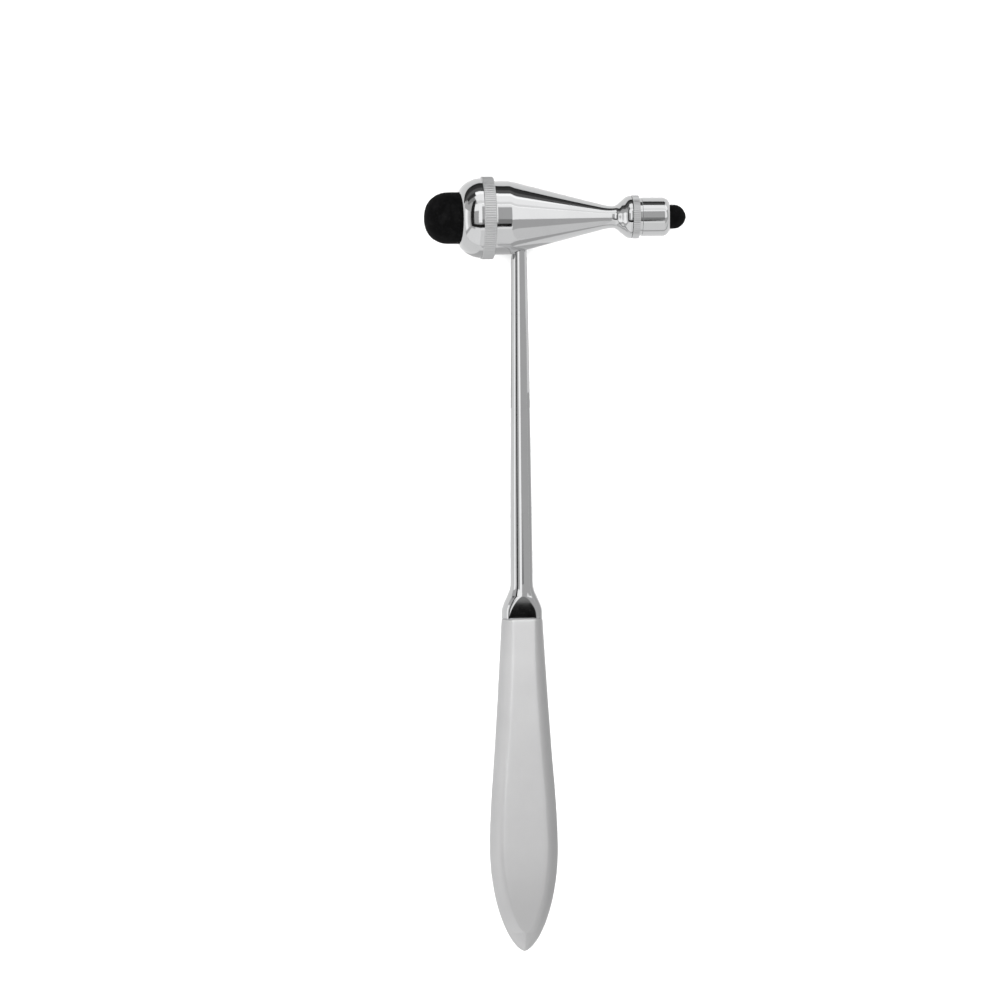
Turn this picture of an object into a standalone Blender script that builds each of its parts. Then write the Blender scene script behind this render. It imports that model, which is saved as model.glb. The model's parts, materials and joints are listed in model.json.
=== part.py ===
"""Reflex hammer: a turned two-ended head with screw caps that hold rubber mallets,
a tapered shaft with a flared bolster, and a hollow handle of two pressed half shells.

The hammer is modelled in its own axes, in millimetres, from the point where the head's
axis crosses the shaft's axis:
  X runs along the head, from the large mallet (-) to the small mallet (+)
  Y runs along the shaft, from the handle (-) to the head (+)
  Z comes out of the handle's front flat
Last, an empty lays the whole hammer on the plane Z = 0, where it rests on both caps and
on the handle.
"""

import math

import bmesh
import bpy
from mathutils import Matrix, Vector
from mathutils.geometry import interpolate_bezier

MM = 0.001

# Round pieces
LARGE_SEGMENTS = 32
SMALL_SEGMENTS = 24
ROWS_PER_TURN = 5  # rings of vertices for each turn of a thread
GAP = 0.25  # clearance between pieces that touch
PARTING_GAP = 0.3  # line that shows between a cap's rim and the head

# Large end of the head: distances along X and radii
LARGE_SHOULDER_X = -8.2
LARGE_SPIGOT_END_X = -14.0
LARGE_THREAD = {"minor": 9.4, "depth": 0.7, "pitch": 1.5, "clearance": 0.2}
LARGE_RIM_RADIUS = 13.1
LARGE_RIM_WIDTH = 3.8
NOSE_START_X = -12.8
NOSE_LENGTH = 6.2
NOSE_RADIUS = 12.6
NOSE_FACE_RADIUS = 8.0
NOSE_ROUNDNESS = (1.5, 1.8)
LARGE_BORE_RADIUS = 8.4
LARGE_SEAT_X = -16.75
LARGE_SEAT_RADIUS = 9.75

# Small end of the head
SMALL_SHOULDER_X = 35.8
SMALL_SPIGOT_END_X = 41.6
SMALL_THREAD = {"minor": 4.22, "depth": 0.44, "pitch": 1.0, "clearance": 0.17}
SMALL_RIM_RADIUS = 6.85
SMALL_RIM_WIDTH = 2.2
SMALL_GROOVE_RADIUS = 5.95
SMALL_GROOVE_WIDTH = 1.0
SMALL_CAP_RADIUS = 6.12
SMALL_CAP_END_X = 47.95
SMALL_NOSE_LENGTH = 2.05
SMALL_NOSE_FACE_RADIUS = 4.1
SMALL_NOSE_ROUNDNESS = (1.8, 1.8)
SMALL_BORE_RADIUS = 3.95
SMALL_SEAT_X = 44.1
SMALL_SEAT_RADIUS = 4.9

# Head body between its shoulders
BARREL_RADIUS = 11.62
SHOULDER_CHAMFER = 0.3
FLANGE_RADIUS = 6.8
BARREL_TO_CONE = ((-3.6, 11.62), (-2.8, 11.62), (-1.9, 11.36), (0.0, 10.87))
CONE_TO_NECK = ((26.2, 4.08), (27.4, 3.77), (28.6, 3.47), (29.9, 3.47))
NECK_TO_FLARE = ((29.9, 3.47), (31.3, 3.47), (31.5, 4.25), (32.63, 5.1))
FLARE_TO_FLANGE = ((32.63, 5.1), (33.5, 5.75), (33.9, 6.5), (35.3, 6.8))

# Rubber mallets
LARGE_MALLET = {"radius": 8.15, "dome_start": -22.4, "dome_length": 7.7, "roundness": (2.1, 2.3),
                "flange_radius": 9.5}
SMALL_MALLET = {"radius": 3.75, "dome_start": 49.4, "dome_length": 3.9, "roundness": (2.3, 1.6),
                "flange_radius": 4.7}
DOME_ROWS = 8

# Shaft: distances down from the head's axis
TENON_RADIUS = 2.0
TENON_TOP = -1.0
SHAFT_SHOULDER = 9.9
SHAFT_TOP_RADIUS = 2.46
SHAFT_RADIUS_STATIONS = ((9.9, SHAFT_TOP_RADIUS), (60.0, 3.06), (90.0, 3.38), (115.5, 3.57))
FLARE_START = 115.9
FLARE_END = 125.0
FLARE_HALF_WIDTH = 6.46
FACET_START = 119.8
FACET_DROP = 0.31
FACET_END_HALF_WIDTH = 4.65
BOLSTER_END = 126.9
PLUG_LENGTH = 7.0

# Handle: half sizes at distances down from the head's axis
HALF_WIDTH_STATIONS = ((126.9, 6.5), (147.0, 7.67), (166.0, 8.9), (185.0, 10.3), (193.0, 10.71),
                       (199.5, 10.86))
FLAT_STATIONS = ((126.9, 3.75), (140.0, 3.92), (150.0, 4.35), (166.0, 5.4), (185.0, 6.75),
                 (198.0, 7.15))
HANDLE_HALF_THICKNESS = 5.2
HANDLE_END = 231.9
TAPERS = {"width": {"start": 199.5, "end": 232.4, "roundness": (2.0, 1.6)},
          "flat": {"start": 198.0, "end": 226.5, "roundness": (2.0, 1.6)},
          "thickness": {"start": 200.0, "end": 232.4, "roundness": (2.4, 2.0)}}
EDGE_ROUNDNESS_TOP = 1.6
EDGE_ROUNDNESS_FOOT = 1.4
HANDLE_WALL = 1.0
CAVITY_END = 226.0
SEAM_GAP = 0.3
SIDE_POINTS = 5  # points from the handle's side to the edge of its flat

# Finishes: base colour, metallic, roughness
POLISHED_CHROME = ((0.82, 0.82, 0.83), 1.0, 0.06)
SATIN_CHROME = ((0.62, 0.62, 0.63), 1.0, 0.38)
BLACK_RUBBER = ((0.012, 0.012, 0.013), 0.0, 0.6)


# ---------------------------------------------------------------- helpers

def material(name, finish):
    colour, metallic, roughness = finish
    made = bpy.data.materials.new(name)
    made.use_nodes = True
    shader = made.node_tree.nodes["Principled BSDF"]
    shader.inputs["Base Color"].default_value = (*colour, 1.0)
    shader.inputs["Metallic"].default_value = metallic
    shader.inputs["Roughness"].default_value = roughness
    return made


def mesh_object(name, rings, closed_loop, finish):
    """One solid skinned over rings of points in millimetres. The last ring joins the first
    in a closed loop; otherwise each end ring is filled."""
    bm = bmesh.new()
    rows = [[bm.verts.new(Vector(point) * MM) for point in ring] for ring in rings]
    following = rows[1:] + rows[:1] if closed_loop else rows[1:]
    for row, after in zip(rows, following):
        for i in range(len(row)):
            j = (i + 1) % len(row)
            bm.faces.new((row[i], row[j], after[j], after[i]))
    if not closed_loop:
        bm.faces.new(rows[0])
        bm.faces.new(rows[-1])
    bmesh.ops.recalc_face_normals(bm, faces=bm.faces)
    mesh = bpy.data.meshes.new(name)
    bm.to_mesh(mesh)
    bm.free()
    mesh.materials.append(finish)
    mesh.shade_smooth()
    mesh.set_sharp_from_angle(angle=math.radians(35))
    made = bpy.data.objects.new(name, mesh)
    bpy.context.scene.collection.objects.link(made)
    return made


def turned(name, profile, segments, finish, closed_loop=False):
    """A piece turned about the head's axis. A profile point is (x, radius) or, on a thread,
    (x, radius, swing, side, pitch): the radius then follows a right-hand helix."""
    rings = []
    for x, radius, *thread in profile:
        ring = []
        for i in range(segments):
            angle = math.tau * i / segments
            r = radius
            if thread:
                swing, side, pitch = thread
                r += swing * (math.cos(math.tau * x / pitch - angle) + side)
            ring.append((x, r * math.cos(angle), r * math.sin(angle)))
        rings.append(ring)
    return mesh_object(name, rings, closed_loop, finish)


def thread_rows(start, end, thread, inside):
    """Profile points of a thread from start to end, cut in over its first and last half turn.
    An outside thread grows from its minor radius, an inside one shrinks from its major radius."""
    pitch, swing = thread["pitch"], thread["depth"] / 2
    radius = thread["minor"]
    if inside:
        radius += thread["depth"] + thread["clearance"]
    side = -1 if inside else 1
    count = round(abs(end - start) / pitch * ROWS_PER_TURN)
    rows = []
    for i in range(count + 1):
        x = start + (end - start) * i / count
        run_in = min(abs(x - start), abs(end - x)) / (pitch / 2)
        rows.append((x, radius, swing * min(1.0, run_in), side, pitch))
    return rows


def arc(start, length, radius, roundness, count, foot_radius=0.0):
    """Points of a superellipse quadrant from (start, radius) to (start + length, foot_radius).
    roundness holds its two exponents, along the axis and out from it."""
    points = []
    for i in range(count + 1):
        angle = math.pi / 2 * i / count
        along = math.sin(angle) ** (2 / roundness[0])
        out = max(math.cos(angle), 0.0) ** (2 / roundness[1])
        points.append((start + length * along, foot_radius + (radius - foot_radius) * out))
    return points


def bezier(points, count):
    flat = [Vector((x, r)) for x, r in points]
    return [tuple(p) for p in interpolate_bezier(*flat, count)]


def smooth(stations, at):
    """A cubic through the stations, which are (distance, value) pairs in order."""
    for i in range(len(stations) - 1):
        (d0, v0), (d1, v1) = stations[i], stations[i + 1]
        if at <= d1 or i == len(stations) - 2:
            break
    before, after = stations[max(i - 1, 0)], stations[min(i + 2, len(stations) - 1)]
    slope0 = (v1 - before[1]) / (d1 - before[0])
    slope1 = (after[1] - v0) / (after[0] - d0)
    t, span = (at - d0) / (d1 - d0), d1 - d0
    return ((2 * t**3 - 3 * t**2 + 1) * v0 + (t**3 - 2 * t**2 + t) * span * slope0
            + (3 * t**2 - 2 * t**3) * v1 + (t**3 - t**2) * span * slope1)


def smooth_step(t):
    t = min(1.0, max(0.0, t))
    return t * t * (3 - 2 * t)


def tapered(kind, at, full):
    """full, brought down to nothing between the taper's start and end, along a superellipse."""
    taper = TAPERS[kind]
    along, out = taper["roundness"]
    u = min(1.0, max(0.0, (at - taper["start"]) / (taper["end"] - taper["start"])))
    return full * (1 - u**along) ** (1 / out)


# ---------------------------------------------------------------- handle and bolster sections

def handle_size(at):
    """Half width, half width of the flat, half thickness and edge roundness of the handle."""
    taper_start = TAPERS["width"]["start"]
    width = smooth(HALF_WIDTH_STATIONS, min(at, taper_start))
    flat = smooth(FLAT_STATIONS, min(at, TAPERS["flat"]["start"]))
    share = min(1.0, (at - BOLSTER_END) / (taper_start - BOLSTER_END))
    roundness = EDGE_ROUNDNESS_TOP + (EDGE_ROUNDNESS_FOOT - EDGE_ROUNDNESS_TOP) * share
    return (tapered("width", at, width), tapered("flat", at, flat),
            tapered("thickness", at, HANDLE_HALF_THICKNESS), roundness)


def shaft_radius(at):
    """Radius of the tapered rod, and half width of the bolster that it flares into."""
    foot, foot_radius = SHAFT_RADIUS_STATIONS[-1]
    flare = smooth_step((at - FLARE_START) / (FLARE_END - FLARE_START))
    return smooth(SHAFT_RADIUS_STATIONS, min(at, foot)) + (FLARE_HALF_WIDTH - foot_radius) * flare


def shaft_size(at):
    """The same sizes for the shaft and its bolster. An arched facet, ground front and back, sinks
    a little towards the handle, whose flat stands above it in a step."""
    radius = shaft_radius(at)
    if at <= FACET_START:
        return radius, 0.0, radius, 2.0
    share = (at - FACET_START) / (BOLSTER_END - FACET_START)
    thickness = shaft_radius(FACET_START) - FACET_DROP * share**1.6
    flat = FACET_END_HALF_WIDTH * (1 - (1 - share) ** 2) ** 0.8
    return radius, flat, thickness, 2.0 + (EDGE_ROUNDNESS_TOP - 2.0) * share


def quarter(size, shrink=0.0):
    """Points from the side of a section (z = 0) to the edge of its flat."""
    half_width, flat, thickness, roundness = size
    half_width = half_width - shrink
    thickness = thickness - shrink
    flat = max(flat - 0.4 * shrink, 0.0)
    points = []
    for i in range(SIDE_POINTS + 1):
        angle = math.pi / 2 * i / SIDE_POINTS
        across = math.cos(angle) ** (2 / roundness) if i < SIDE_POINTS else 0.0
        up = math.sin(angle) ** (2 / roundness)
        points.append((flat + (half_width - flat) * across, thickness * up))
    return points


def full_section(at, size, shrink=0.0):
    """A whole ring about the shaft's axis. A round section has a flat 0.02 mm wide, so that
    each ring has the same number of separate points."""
    least = 0.01
    right = [(max(x, least), z) for x, z in quarter(size, shrink)]
    top = right + [(-x, z) for x, z in reversed(right)][:-1]
    bottom = [(-x, -z) for x, z in right] + [(x, -z) for x, z in reversed(right)][:-1]
    return [(x, -at, z) for x, z in top + bottom]


def half_section(at, front, shrink=0.0, base=SEAM_GAP / 2):
    """The closed outline of one half shell, or of the cavity in it."""
    right = quarter(handle_size(at), shrink)
    outline = right + [(-x, z) for x, z in reversed(right)]
    return [(x, -at, front * max(z, base)) for x, z in outline]


# ---------------------------------------------------------------- pieces

def make_head_body(finish):
    chamfer = SHOULDER_CHAMFER
    large_root, small_root = LARGE_THREAD["minor"], SMALL_THREAD["minor"]
    profile = [(LARGE_SPIGOT_END_X, 0.5), (LARGE_SPIGOT_END_X, large_root - 0.4)]
    profile += thread_rows(LARGE_SPIGOT_END_X + 0.3, LARGE_SHOULDER_X - 0.4, LARGE_THREAD, inside=False)
    profile += [(LARGE_SHOULDER_X, large_root), (LARGE_SHOULDER_X, BARREL_RADIUS - chamfer),
                (LARGE_SHOULDER_X + chamfer, BARREL_RADIUS)]
    profile += bezier(BARREL_TO_CONE, 5) + bezier(CONE_TO_NECK, 5)
    profile += bezier(NECK_TO_FLARE, 5)[1:] + bezier(FLARE_TO_FLANGE, 5)[1:]
    profile += [(SMALL_SHOULDER_X - 0.1, FLANGE_RADIUS), (SMALL_SHOULDER_X, FLANGE_RADIUS - 0.1),
                (SMALL_SHOULDER_X, small_root)]
    profile += thread_rows(SMALL_SHOULDER_X + 0.3, SMALL_SPIGOT_END_X - 0.2, SMALL_THREAD, inside=False)
    profile += [(SMALL_SPIGOT_END_X, small_root - 0.3), (SMALL_SPIGOT_END_X, 0.5)]
    body = turned("head_body", profile, LARGE_SEGMENTS, finish)
    cut_shaft_socket(body, finish)
    return body


def cut_shaft_socket(body, finish):
    """Cuts the blind hole for the shaft's tenon, and the seat for the shaft's shoulder."""
    hole, seat = TENON_RADIUS + GAP, SHAFT_TOP_RADIUS + GAP
    depths = [(TENON_TOP - 1.0, hole), (SHAFT_SHOULDER - GAP, hole),
              (SHAFT_SHOULDER - GAP, seat), (BARREL_RADIUS + 2.0, seat)]
    rings = [full_section(at, (radius, 0.0, radius, 2.0)) for at, radius in depths]
    cutter = mesh_object("shaft_socket_cutter", rings, False, finish)
    cut(body, cutter)


def cut(target, cutter):
    cutter.hide_render = True
    cutter.display_type = "WIRE"
    boolean = target.modifiers.new(cutter.name, "BOOLEAN")
    boolean.operation = "DIFFERENCE"
    boolean.solver = "EXACT"
    boolean.object = cutter


def make_large_cap(finish):
    rear = LARGE_SHOULDER_X - PARTING_GAP
    rim_front = rear - LARGE_RIM_WIDTH
    major = LARGE_THREAD["minor"] + LARGE_THREAD["depth"] + LARGE_THREAD["clearance"]
    edge = 0.3
    profile = [(rear, major + GAP), (rear, LARGE_RIM_RADIUS - edge), (rear - edge, LARGE_RIM_RADIUS),
               (rim_front + edge, LARGE_RIM_RADIUS), (rim_front, LARGE_RIM_RADIUS - edge)]
    nose = arc(NOSE_START_X, -NOSE_LENGTH, NOSE_RADIUS, NOSE_ROUNDNESS, 8, NOSE_FACE_RADIUS)
    profile += [(x, r) for x, r in nose if r > LARGE_BORE_RADIUS + 0.25]
    profile += [(NOSE_START_X - NOSE_LENGTH + 0.2, LARGE_BORE_RADIUS), (LARGE_SEAT_X, LARGE_BORE_RADIUS),
                (LARGE_SEAT_X, LARGE_SEAT_RADIUS), (LARGE_SPIGOT_END_X - 0.25, LARGE_SEAT_RADIUS),
                (LARGE_SPIGOT_END_X - 0.25, major)]
    profile += thread_rows(LARGE_SPIGOT_END_X + 0.1, rear - 0.3, LARGE_THREAD, inside=True)
    return turned("large_cap", profile, LARGE_SEGMENTS, finish, closed_loop=True)


def make_small_cap(finish):
    rear = SMALL_SHOULDER_X + PARTING_GAP
    rim_front = rear + SMALL_RIM_WIDTH
    major = SMALL_THREAD["minor"] + SMALL_THREAD["depth"] + SMALL_THREAD["clearance"]
    edge = 0.25
    profile = [(rear, major + GAP), (rear, SMALL_RIM_RADIUS - edge), (rear + edge, SMALL_RIM_RADIUS),
               (rim_front - edge, SMALL_RIM_RADIUS), (rim_front, SMALL_RIM_RADIUS - edge),
               (rim_front, SMALL_GROOVE_RADIUS), (rim_front + SMALL_GROOVE_WIDTH, SMALL_GROOVE_RADIUS),
               (rim_front + SMALL_GROOVE_WIDTH + 0.2, SMALL_CAP_RADIUS)]
    profile += arc(SMALL_CAP_END_X - SMALL_NOSE_LENGTH, SMALL_NOSE_LENGTH, SMALL_CAP_RADIUS,
                   SMALL_NOSE_ROUNDNESS, 5, SMALL_NOSE_FACE_RADIUS)
    profile += [(SMALL_CAP_END_X - 0.15, SMALL_BORE_RADIUS), (SMALL_SEAT_X, SMALL_BORE_RADIUS),
                (SMALL_SEAT_X, SMALL_SEAT_RADIUS), (SMALL_SPIGOT_END_X + 0.2, SMALL_SEAT_RADIUS)]
    profile += thread_rows(SMALL_SPIGOT_END_X - 0.1, rear + 0.2, SMALL_THREAD, inside=True)
    return turned("small_cap", profile, SMALL_SEGMENTS, finish, closed_loop=True)


def make_mallet(name, sizes, spigot_end, seat, segments, finish):
    """A rubber plug: a flange held between the spigot and the cap's seat, and a domed head."""
    out = 1 if seat > spigot_end else -1
    flange_rear, flange_front = spigot_end + out * GAP, seat - out * GAP
    edge, flange = 0.25, sizes["flange_radius"]
    profile = [(flange_rear, 0.5), (flange_rear, flange - edge), (flange_rear + out * edge, flange),
               (flange_front - out * edge, flange), (flange_front, flange - edge),
               (flange_front, sizes["radius"])]
    dome = arc(sizes["dome_start"], out * sizes["dome_length"], sizes["radius"], sizes["roundness"],
               DOME_ROWS)
    profile += dome[:-1] + [(dome[-1][0], 0.3)]
    return turned(name, profile, segments, finish)


def make_shaft(finish):
    tip, chamfer = TENON_TOP, 0.4
    rings = [full_section(tip, (TENON_RADIUS - chamfer, 0.0, TENON_RADIUS - chamfer, 2.0)),
             full_section(tip + chamfer, (TENON_RADIUS, 0.0, TENON_RADIUS, 2.0)),
             full_section(SHAFT_SHOULDER, (TENON_RADIUS, 0.0, TENON_RADIUS, 2.0))]
    flare_rows = 5
    stations = [SHAFT_SHOULDER, 45.0, 80.0, FLARE_START]
    stations += [FLARE_START + (FACET_START - FLARE_START) * i / 3 for i in (1, 2, 3)]
    facet_length = BOLSTER_END - FACET_START
    stations += [FACET_START + facet_length * i / flare_rows for i in range(1, flare_rows + 1)]
    rings += [full_section(at, shaft_size(at)) for at in stations]
    fit = HANDLE_WALL + GAP
    rings += [full_section(at, handle_size(at), fit) for at in (BOLSTER_END, BOLSTER_END + PLUG_LENGTH)]
    return mesh_object("shaft", rings, False, finish)


def make_handle_shell(name, front, finish):
    """One pressed half shell. front is 1 for the half with the front flat, -1 for the back."""
    top = BOLSTER_END + SEAM_GAP
    stations = [top, 134.0, 141.0, 148.0, 157.0, 166.0, 175.0, 184.0, 192.0, 199.0, 204.0, 208.5,
                213.0, 217.5, 221.5, 225.0, 228.0, 230.3, HANDLE_END]
    shell = mesh_object(name, [half_section(at, front) for at in stations], False, finish)
    cavity = [top - 1.0] + [at for at in stations[1:] if at < CAVITY_END] + [CAVITY_END]
    rings = [half_section(max(at, top), front, HANDLE_WALL, base=-1.0) for at in cavity]
    rings[0] = [(x, -cavity[0], z) for x, _, z in rings[0]]
    cut(shell, mesh_object(name + "_cavity", rings, False, finish))
    return shell


# ---------------------------------------------------------------- laying it down

def lowest(piece, turn):
    return min((turn @ v.co).z for v in piece.data.vertices)


def lay_down(pieces, large_cap, small_cap, handle):
    """Turns the hammer until its large cap, small cap and handle touch one level plane, and
    puts the origin under the middle of its box."""
    roll, pitch = 0.0, 0.0
    head_span = (SMALL_CAP_END_X - LARGE_SHOULDER_X) * MM
    handle_span = TAPERS["width"]["start"] * MM
    for _ in range(30):
        turn = Matrix.Rotation(pitch, 4, "X") @ Matrix.Rotation(roll, 4, "Y")
        heights = [lowest(piece, turn) for piece in (large_cap, small_cap, handle)]
        roll += (heights[1] - heights[0]) / head_span
        pitch += (heights[2] - min(heights[:2])) / handle_span
    turn = Matrix.Rotation(pitch, 4, "X") @ Matrix.Rotation(roll, 4, "Y")
    points = [turn @ v.co for piece in pieces for v in piece.data.vertices]
    low = [min(p[axis] for p in points) for axis in range(3)]
    high = [max(p[axis] for p in points) for axis in range(3)]
    place = Vector((-(low[0] + high[0]) / 2, -(low[1] + high[1]) / 2, -low[2]))
    rest = bpy.data.objects.new("hammer_at_rest", None)
    bpy.context.scene.collection.objects.link(rest)
    rest.matrix_world = Matrix.Translation(place) @ turn
    for obj in list(bpy.context.scene.collection.objects):
        if obj is not rest:
            obj.parent = rest
    return rest


def main():
    for obj in list(bpy.data.objects):
        bpy.data.objects.remove(obj)
    polished = material("polished_chrome", POLISHED_CHROME)
    satin = material("satin_chrome", SATIN_CHROME)
    rubber = material("black_rubber", BLACK_RUBBER)
    body = make_head_body(polished)
    large_cap = make_large_cap(polished)
    small_cap = make_small_cap(polished)
    large_mallet = make_mallet("large_mallet", LARGE_MALLET, LARGE_SPIGOT_END_X, LARGE_SEAT_X,
                               LARGE_SEGMENTS, rubber)
    small_mallet = make_mallet("small_mallet", SMALL_MALLET, SMALL_SPIGOT_END_X, SMALL_SEAT_X,
                               SMALL_SEGMENTS, rubber)
    shaft = make_shaft(polished)
    front = make_handle_shell("handle_front_shell", 1, satin)
    back = make_handle_shell("handle_back_shell", -1, satin)
    pieces = [body, large_cap, small_cap, large_mallet, small_mallet, shaft, front, back]
    lay_down(pieces, large_cap, small_cap, back)


main()
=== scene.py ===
import json
import math

import bpy
import numpy as np
from mathutils import Matrix, Vector


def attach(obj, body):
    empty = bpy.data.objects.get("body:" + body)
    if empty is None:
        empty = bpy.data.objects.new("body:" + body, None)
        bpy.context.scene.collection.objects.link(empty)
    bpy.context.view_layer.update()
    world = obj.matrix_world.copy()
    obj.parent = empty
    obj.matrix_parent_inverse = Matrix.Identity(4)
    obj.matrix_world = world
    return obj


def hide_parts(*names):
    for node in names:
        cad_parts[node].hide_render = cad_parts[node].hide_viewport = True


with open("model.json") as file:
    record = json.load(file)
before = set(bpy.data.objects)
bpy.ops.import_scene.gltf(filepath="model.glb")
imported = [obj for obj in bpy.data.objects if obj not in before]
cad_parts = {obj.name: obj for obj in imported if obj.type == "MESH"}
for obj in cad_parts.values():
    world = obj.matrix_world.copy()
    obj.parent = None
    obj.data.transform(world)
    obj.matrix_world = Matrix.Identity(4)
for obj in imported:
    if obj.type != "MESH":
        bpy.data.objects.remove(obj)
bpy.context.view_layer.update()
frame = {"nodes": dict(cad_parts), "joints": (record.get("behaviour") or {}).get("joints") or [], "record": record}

print("frame loaded:", ", ".join(sorted(frame["nodes"])))

mm = 0.001
turn = 2 * math.pi


# x = outward axis of the small cap's hinge, z = outward normal of the handle's front flat,
# y = z cross x; origin = the point of the shaft's line (midway between the handle's two flats) level with
# the head's line
def hammerPlace():
    joints = {joint["name"]: joint for joint in frame["joints"]}
    mounts = {mount["name"]: mount for mount in frame["record"]["mounts"]}
    x = np.array(joints["small_cap_turn"]["axis"])
    z = np.array(mounts["handle_front_flat"]["axis"])
    y = np.cross(z, x)
    front = np.array(mounts["handle_front_flat"]["pos_m"])
    back = np.array(mounts["handle_back_flat"]["pos_m"])
    onShaft = (front + back) / 2
    onHead = np.array(joints["small_cap_turn"]["pos_m"])
    return np.column_stack([x, y, z]), onShaft + y * ((onHead - onShaft) @ y)


axes, crossing = hammerPlace()


# world point = crossing + millimetres along the hammer's three axes
def toWorld(points):
    return crossing + mm * np.asarray(points) @ axes.T


# superellipse quadrant: x = start + length sin^(2/a), r = foot + (radius - foot) cos^(2/b)
def arc(start, length, radius, roundness, count, foot=0.0):
    angle = np.linspace(0, math.pi / 2, count + 1)
    along = np.sin(angle) ** (2 / roundness[0])
    out = np.clip(np.cos(angle), 0, 1) ** (2 / roundness[1])
    return np.column_stack([start + length * along, foot + (radius - foot) * out])


# cubic Bezier: (1-t)^3 a + 3(1-t)^2 t b + 3(1-t) t^2 c + t^3 d
def bezier(points, count):
    a, b, c, d = (np.array(point) for point in points)
    t = np.linspace(0, 1, count + 1)[:, None]
    return (1 - t)**3 * a + 3 * (1 - t)**2 * t * b + 3 * (1 - t) * t**2 * c + t**3 * d


# outline of straight runs and curves laid end to end: (x, radius, steps) is a straight run to that
# point in so many steps, and an array is a curve of its own, whose first point is left out where it's
# the last one's
def outline(*runs):
    rows = [np.atleast_2d(np.array(runs[0], float))]
    for run in runs[1:]:
        last = rows[-1][-1]
        if isinstance(run, tuple):
            x, r, steps = run
            rows.append(np.linspace(last, (x, r), steps + 1)[1:])
        else:
            rows.append(run[1:] if np.allclose(run[0], last, atol=1e-6) else run)
    return np.concatenate(rows)


# smooth cubic through (distance, value) stations, with the slope at each the slope between its
# neighbours
def smooth(stations, at):
    d, v = np.array(stations).T
    slope = np.empty_like(v)
    slope[1:-1] = (v[2:] - v[:-2]) / (d[2:] - d[:-2])
    slope[0] = (v[1] - v[0]) / (d[1] - d[0])
    slope[-1] = (v[-1] - v[-2]) / (d[-1] - d[-2])
    i = np.clip(np.searchsorted(d, at, side="right") - 1, 0, len(d) - 2)
    span = d[i + 1] - d[i]
    t = (at - d[i]) / span
    return ((2 * t**3 - 3 * t**2 + 1) * v[i] + (t**3 - 2 * t**2 + t) * span * slope[i]
            + (3 * t**2 - 2 * t**3) * v[i + 1] + (t**3 - t**2) * span * slope[i + 1])


# 3 t^2 - 2 t^3, with t held between 0 and 1
def smoothStep(t):
    t = np.clip(t, 0, 1)
    return t * t * (3 - 2 * t)


# mesh of points given in the hammer's millimetres
def meshOf(name, points, faces):
    mesh = bpy.data.meshes.new(name)
    mesh.from_pydata(toWorld(points.reshape(-1, 3)), [], faces)
    return mesh


# four-sided faces between rows of points and the rows above them; the columns wrap round
def facesBetween(below, above):
    nextBelow, nextAbove = np.roll(below, -1, axis=1), np.roll(above, -1, axis=1)
    return np.stack([below, nextBelow, nextAbove, above], axis=-1).reshape(-1, 4).tolist()


# grid of rows x columns of points -> closed mesh: the rows wrap too on a ring, else each end row
# closes on a point at its middle
def gridMesh(name, points, ring=False):
    rows, columns = points.shape[:2]
    index = np.arange(rows * columns).reshape(rows, columns)
    if ring:
        return meshOf(name, points, facesBetween(index, np.roll(index, -1, axis=0)))
    faces = facesBetween(index[:-1], index[1:])
    first, last = rows * columns, rows * columns + 1
    startRow, endRow = index[0], index[-1]
    faces += np.column_stack([np.full(columns, first), np.roll(startRow, -1), startRow]).tolist()
    faces += np.column_stack([np.full(columns, last), endRow, np.roll(endRow, -1)]).tolist()
    middles = points[[0, -1]].mean(axis=1)
    return meshOf(name, np.concatenate([points.reshape(-1, 3), middles]), faces)


# the mesh's volume by the sum of a . (b x c) / 6 over its triangles says which way its faces point
def faceOutwards(mesh):
    mesh.calc_loop_triangles()
    corners = np.empty(len(mesh.loop_triangles) * 3, np.int32)
    mesh.loop_triangles.foreach_get("vertices", corners)
    places = np.empty(len(mesh.vertices) * 3)
    mesh.vertices.foreach_get("co", places)
    places = places.reshape(-1, 3) - places.reshape(-1, 3).mean(axis=0)
    a, b, c = (places[corners.reshape(-1, 3)[:, k]] for k in range(3))
    if (a * np.cross(b, c)).sum() < 0:
        mesh.flip_normals()


sharpAngle = 30     # degrees


# smooth shading, but for edges that turn by more than the angle
def shadeSmooth(mesh, sharp):
    mesh.shade_smooth()
    mesh.set_sharp_from_angle(angle=math.radians(sharp))


# mesh -> piece of the hammer: its faces turned out, its material, the body it rides on, the node it
# stands for
def finishPiece(name, mesh, material, body, node, sharp=sharpAngle):
    faceOutwards(mesh)
    mesh.materials.append(material)
    shadeSmooth(mesh, sharp)
    piece = bpy.data.objects.new(name, mesh)
    bpy.context.scene.collection.objects.link(piece)
    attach(piece, body)
    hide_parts(node)
    print("made", name, len(mesh.polygons), "faces")
    return piece


# turned surface: point = (x, r cos(angle), r sin(angle)), where r = shape(x, r, angle) of the
# outline's radius
def turnedGrid(profile, segments, shape=None):
    angle = turn * np.arange(segments) / segments
    x = np.repeat(profile[:, :1], segments, axis=1)
    r = np.repeat(profile[:, 1:], segments, axis=1)
    if shape is not None:
        r = shape(x, r, angle[None, :])
    return np.stack([x, r * np.cos(angle), r * np.sin(angle)], axis=-1)


# parts of half the pitch: the flat at the thread's root, and its sloping side
threadForm = {"rootFlat": 0.12, "flank": 0.7}


# screw thread: radius grows by depth x wave, where wave is a flat-topped V of the phase
# x/pitch - angle/turn, run in and out over half a turn at each end; also says which points lie
# between the two ends
def threadWave(x, angle, start, end, pitch):
    phase = x / pitch - angle / turn
    tent = 1 - 2 * np.abs(phase - np.round(phase))
    wave = np.clip((tent - threadForm["rootFlat"]) / threadForm["flank"], 0, 1)
    low, high = min(start, end), max(start, end)
    runIn = np.clip(np.minimum(x - low, high - x) / (pitch / 2), 0, 1)
    return wave, runIn, (x > low) & (x < high)


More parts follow.
